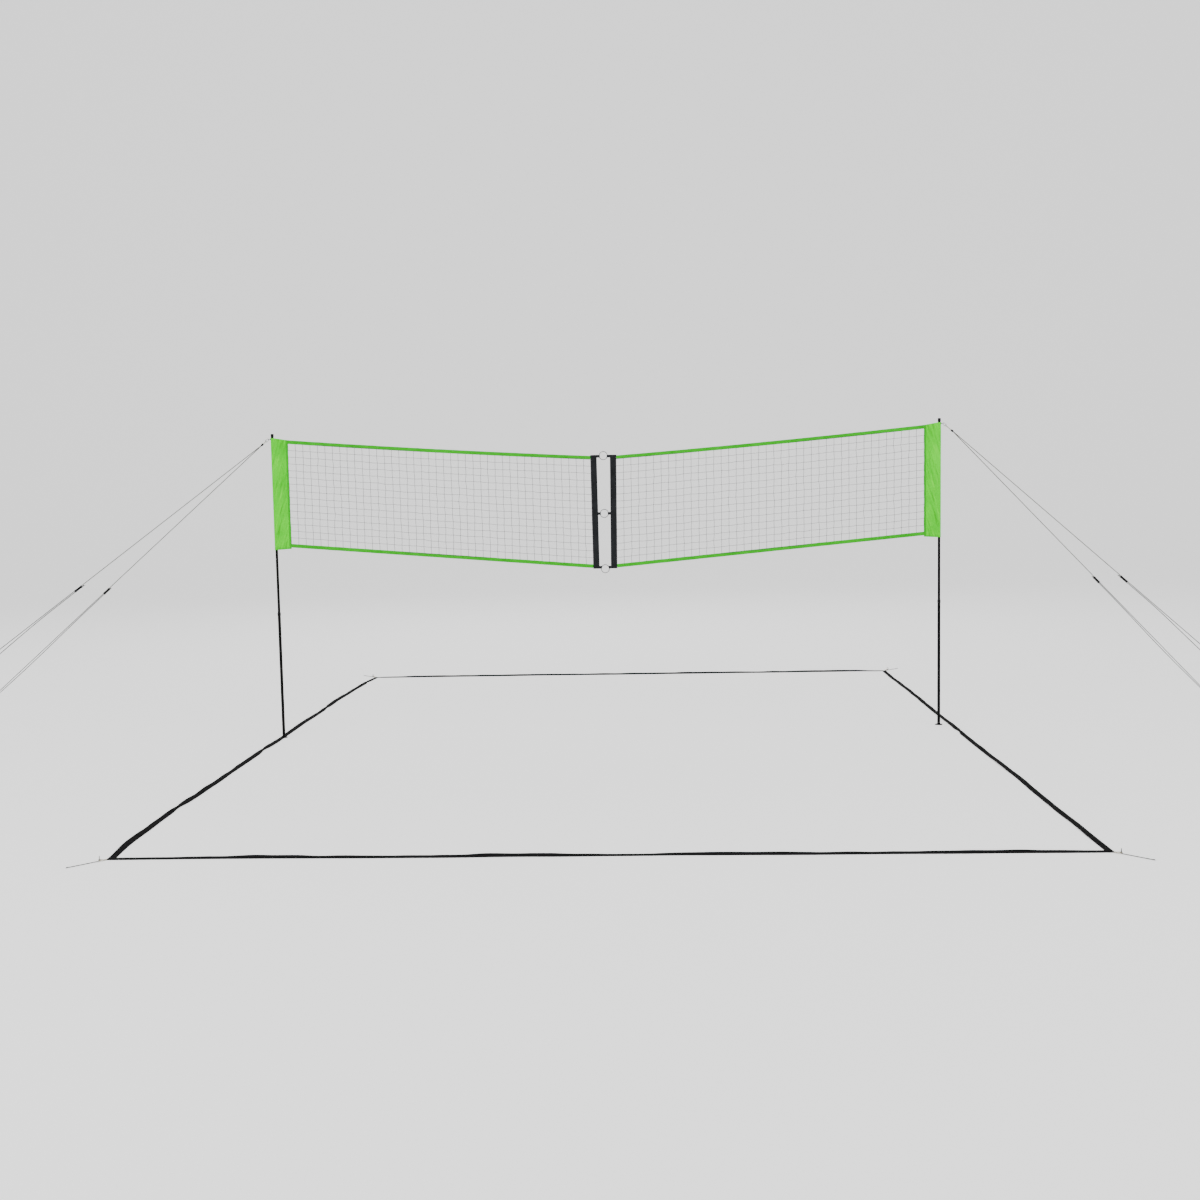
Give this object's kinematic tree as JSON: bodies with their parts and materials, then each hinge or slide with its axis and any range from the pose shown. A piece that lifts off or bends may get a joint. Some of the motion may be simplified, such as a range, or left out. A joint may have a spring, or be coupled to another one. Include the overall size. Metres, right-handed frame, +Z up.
{
  "type": "volleyball net on poles",
  "caption": "Two-part mesh net hung between telescopic poles with guy ropes, runners and pegs, over a pegged webbing court boundary.",
  "frame": {"origin": "ground level at the centre of the ground the whole set covers, pegs included", "axes": "+X along the net towards the right pole, +Y across the court towards its back line, +Z up"},
  "size_m": [10.457, 7.0266, 2.292],
  "materials": {
    "pole_black": "satin black coating",
    "black_plastic": "fine moulded grain",
    "foot_rubber": "matt",
    "button_steel": "bright plated",
    "spring_steel": "plain",
    "dark_steel": "dark plated",
    "hook_steel": "zinc plated",
    "ring_steel": "nickel plated",
    "peg_steel": "galvanised wire, dull",
    "sleeve_fabric": "coated woven sheet, slightly glossy",
    "edge_tape": "folded and stitched tape",
    "twine": "knotted polyethylene twine",
    "centre_webbing": "coarse webbing",
    "court_webbing": "ribbed webbing",
    "corner_loop": "folded tape",
    "guy_rope": "braided cord"
  },
  "bodies": {
    "ground_set": {"left_foot": "foot_rubber", "left_lower_tube": "pole_black", "left_guide_bush": "black_plastic", "right_foot": "foot_rubber", "right_lower_tube": "pole_black", "right_guide_bush": "black_plastic", "court_front_line": "court_webbing", "court_back_line": "court_webbing", "court_left_line": "court_webbing", "court_right_line": "court_webbing", "corner_loops": "corner_loop", "peg_rings": "ring_steel", "pegs": "peg_steel", "left_front_guy": "guy_rope", "left_back_guy": "guy_rope", "right_front_guy": "guy_rope", "right_back_guy": "guy_rope"},
    "left_mast": {"left_lock_plug": "black_plastic", "left_middle_tube": "pole_black", "left_upper_tube": "pole_black", "left_button_spring": "spring_steel", "left_cap": "black_plastic", "left_eye_bolt": "dark_steel", "left_hook": "hook_steel", "left_ferrule": "black_plastic", "left_sleeve": "sleeve_fabric", "left_netting": "twine", "right_netting": "twine", "left_top_tape": "edge_tape", "right_top_tape": "edge_tape", "left_bottom_tape": "edge_tape", "right_bottom_tape": "edge_tape", "left_centre_strap": "centre_webbing", "right_centre_strap": "centre_webbing", "ring_tabs": "centre_webbing"},
    "right_mast": {"right_lock_plug": "black_plastic", "right_middle_tube": "pole_black", "right_upper_tube": "pole_black", "right_button_spring": "spring_steel", "right_cap": "black_plastic", "right_eye_bolt": "dark_steel", "right_hook": "hook_steel", "right_ferrule": "black_plastic", "right_sleeve": "sleeve_fabric"},
    "left_button": {"left_snap_button": "button_steel"},
    "left_gate": {"left_hook_gate": "hook_steel"},
    "right_button": {"right_snap_button": "button_steel"},
    "right_gate": {"right_hook_gate": "hook_steel"},
    "top_ring": {"top_ring": "ring_steel"},
    "middle_ring": {"middle_ring": "ring_steel"},
    "bottom_ring": {"bottom_ring": "ring_steel"},
    "left_front_line": {"left_front_return": "guy_rope"},
    "left_front_runner": {"left_front_runner": "black_plastic"},
    "left_back_line": {"left_back_return": "guy_rope"},
    "left_back_runner": {"left_back_runner": "black_plastic"},
    "right_front_line": {"right_front_return": "guy_rope"},
    "right_front_runner": {"right_front_runner": "black_plastic"},
    "right_back_line": {"right_back_return": "guy_rope"},
    "right_back_runner": {"right_back_runner": "black_plastic"}
  },
  "joints": [
    {"name": "left_height", "type": "slide", "parent": "ground_set", "child": "left_mast", "axis": [0, 0, 1], "range_m": [-0.36, 0], "deforming": ["left_front_guy", "left_back_guy"]},
    {"name": "right_height", "type": "slide", "parent": "ground_set", "child": "right_mast", "axis": [0, 0, 1], "range_m": [-0.36, 0], "deforming": ["right_front_guy", "right_back_guy"]},
    {"name": "left_button_press", "type": "slide", "parent": "left_mast", "child": "left_button", "axis": [-0.6428, -0.766, 0], "range_m": [-0.004, 0], "stiffness_N_per_m": 1000, "springref_m": 0.002, "deforming": ["left_button_spring"]},
    {"name": "left_gate_hinge", "type": "hinge", "parent": "left_mast", "child": "left_gate", "pos_m": [-2.31728, 0.18, 2.22199], "axis": [0, 1, 0], "range_deg": [0, 18], "stiffness_Nm_per_rad": 0.02, "springref_deg": -11.46},
    {"name": "right_button_press", "type": "slide", "parent": "right_mast", "child": "right_button", "axis": [0.6428, -0.766, 0], "range_m": [-0.004, 0], "stiffness_N_per_m": 1000, "springref_m": 0.002, "deforming": ["right_button_spring"]},
    {"name": "right_gate_hinge", "type": "hinge", "parent": "right_mast", "child": "right_gate", "pos_m": [2.70728, 0.18, 2.24599], "axis": [0, -1, 0], "range_deg": [0, 18], "stiffness_Nm_per_rad": 0.02, "springref_deg": -11.46},
    {"name": "top_ring_turn", "type": "hinge", "parent": "left_mast", "child": "top_ring", "pos_m": [0.17, 0.18, 2.063], "axis": [0, 1, 0], "continuous": true},
    {"name": "middle_ring_turn", "type": "hinge", "parent": "left_mast", "child": "middle_ring", "pos_m": [0.17, 0.18, 1.636], "axis": [0, 1, 0], "continuous": true},
    {"name": "bottom_ring_turn", "type": "hinge", "parent": "left_mast", "child": "bottom_ring", "pos_m": [0.17, 0.18, 1.225], "axis": [0, 1, 0], "continuous": true},
    {"name": "left_front_tilt", "type": "hinge", "parent": "ground_set", "child": "left_front_line", "pos_m": [-5.04757, -0.66456, 0.02029], "axis": [0.2981, -0.9545, 0], "range_deg": [-5.5, 0]},
    {"name": "left_front_slide", "type": "slide", "parent": "left_front_line", "child": "left_front_runner", "axis": [0.7583, 0.2369, 0.6073], "range_m": [-0.15, 0.15], "deforming": ["left_front_return"]},
    {"name": "left_back_tilt", "type": "hinge", "parent": "ground_set", "child": "left_back_line", "pos_m": [-5.04757, 1.02456, 0.02029], "axis": [-0.2981, -0.9545, 0], "range_deg": [-5.5, 0]},
    {"name": "left_back_slide", "type": "slide", "parent": "left_back_line", "child": "left_back_runner", "axis": [0.7583, -0.2369, 0.6073], "range_m": [-0.15, 0.15], "deforming": ["left_back_return"]},
    {"name": "right_front_tilt", "type": "hinge", "parent": "ground_set", "child": "right_front_line", "pos_m": [5.04865, -0.46541, 0.02181], "axis": [0.2706, 0.9627, 0], "range_deg": [-5.5, 0]},
    {"name": "right_front_slide", "type": "slide", "parent": "right_front_line", "child": "right_front_runner", "axis": [-0.7116, 0.2, 0.6735], "range_m": [-0.15, 0.15], "deforming": ["right_front_return"]},
    {"name": "right_back_tilt", "type": "hinge", "parent": "ground_set", "child": "right_back_line", "pos_m": [5.04865, 0.82541, 0.02181], "axis": [-0.2706, 0.9627, 0], "range_deg": [-5.5, 0]},
    {"name": "right_back_slide", "type": "slide", "parent": "right_back_line", "child": "right_back_runner", "axis": [-0.7116, -0.2, 0.6735], "range_m": [-0.15, 0.15], "deforming": ["right_back_return"]}
  ],
  "couplings": [
    {"joint": "right_height", "follows": "left_height", "ratio": 1},
    {"joint": "left_front_tilt", "follows": "left_height", "rad_per_m": 0.23736},
    {"joint": "left_back_tilt", "follows": "left_height", "rad_per_m": 0.23736},
    {"joint": "right_front_tilt", "follows": "left_height", "rad_per_m": 0.2478},
    {"joint": "right_back_tilt", "follows": "left_height", "rad_per_m": 0.2478}
  ]
}
